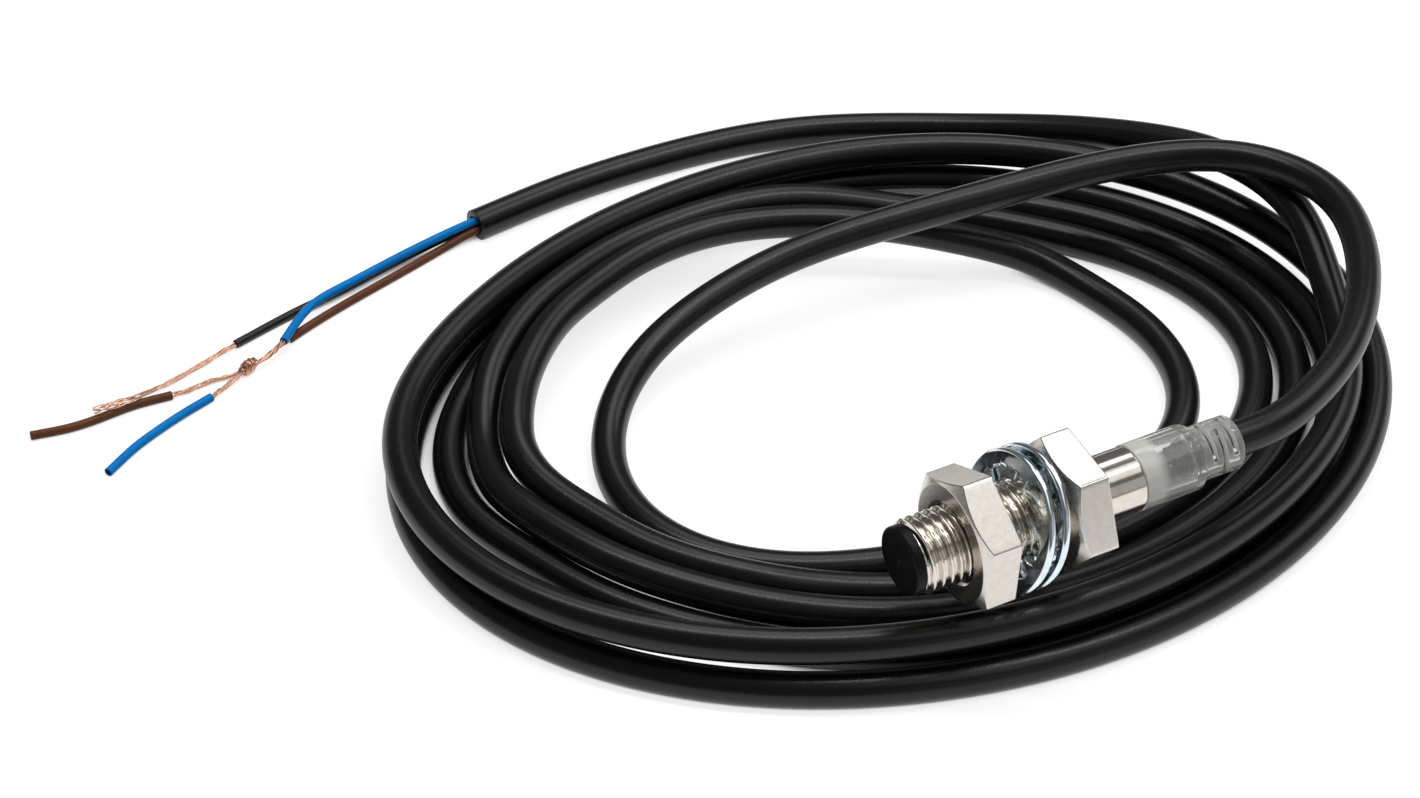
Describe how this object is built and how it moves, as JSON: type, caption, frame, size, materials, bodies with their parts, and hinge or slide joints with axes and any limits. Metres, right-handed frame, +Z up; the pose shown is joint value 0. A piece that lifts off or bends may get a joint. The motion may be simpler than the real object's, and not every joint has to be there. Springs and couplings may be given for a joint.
{
  "type": "proximity sensor",
  "caption": "Cylindrical inductive proximity sensor: threaded metal barrel, black sensing cap, hex nuts, toothed lock washers, clear rear cap and a coiled black cable with bare wire ends.",
  "frame": {"origin": "centre of the flat sensing face at the front of the barrel", "axes": "+X along the barrel's axis from the sensing face to the cable, +Y to the side where the coil lies, +Z up"},
  "size_m": [0.142, 0.1014, 0.0232],
  "materials": {
    "nickel": "nickel-plated brass, turned, glossy",
    "zinc": "bright zinc-plated spring steel with a bluish tint",
    "black_plastic": "matt moulded plastic",
    "ferrite": "matt sintered ferrite",
    "bobbin_plastic": "matt",
    "copper": "bare bright copper",
    "board_green": "solder mask, satin",
    "chip_black": "matt moulding compound",
    "ceramic_tan": "matt ceramic",
    "led_amber": "clear glossy",
    "resin": "cast resin, satin",
    "clear_plastic": "translucent moulded plastic",
    "cable_jacket": "soft satin black jacket",
    "wire_brown": "satin core insulation",
    "wire_blue": "satin core insulation",
    "wire_black": "satin core insulation",
    "solder": "bright solder"
  },
  "bodies": {
    "sensor": {"barrel": "nickel", "sensing_cap": "black_plastic", "ferrite_core": "ferrite", "coil_bobbin": "bobbin_plastic", "sensing_winding": "copper", "winding_leads": "copper", "circuit_board": "board_green", "sensor_chip": "chip_black", "output_transistor": "chip_black", "protection_diode": "chip_black", "chip_capacitors": "ceramic_tan", "chip_resistors": "chip_black", "indicator_led": "led_amber", "potting_resin": "resin", "rear_cap": "clear_plastic", "cable_end": "cable_jacket", "brown_lead": "wire_brown", "blue_lead": "wire_blue", "black_lead": "wire_black", "solder_joints": "solder", "cable_lead": "cable_jacket", "cable_coil": "cable_jacket", "cable_tail": "cable_jacket", "brown_core": "wire_brown", "blue_core": "wire_blue", "black_core": "wire_black", "brown_strands": "copper", "blue_strands": "copper", "black_strands": "copper", "brown_slug": "wire_brown", "blue_slug": "wire_blue"},
    "front_washer": {"front_washer": "zinc"},
    "front_nut": {"front_nut": "nickel"},
    "rear_washer": {"rear_washer": "zinc"},
    "rear_nut": {"rear_nut": "nickel"}
  },
  "joints": [
    {"name": "front_nut_turn", "type": "hinge", "parent": "front_washer", "child": "front_nut", "pos_m": [0.0078, 0, 0], "axis": [-1, 0, 0], "range_deg": [0, 1440]},
    {"name": "front_washer_slide", "type": "slide", "parent": "sensor", "child": "front_washer", "axis": [-1, 0, 0], "range_m": [0, 0.004]},
    {"name": "rear_nut_turn", "type": "hinge", "parent": "rear_washer", "child": "rear_nut", "pos_m": [0.0189, 0, 0], "axis": [1, 0, 0], "range_deg": [0, 1350]},
    {"name": "rear_washer_slide", "type": "slide", "parent": "sensor", "child": "rear_washer", "axis": [1, 0, 0], "range_m": [0, 0.00375]}
  ],
  "couplings": [
    {"joint": "front_nut_turn", "follows": "front_washer_slide", "rad_per_m": 6283.2},
    {"joint": "rear_nut_turn", "follows": "rear_washer_slide", "rad_per_m": 6283.2}
  ]
}
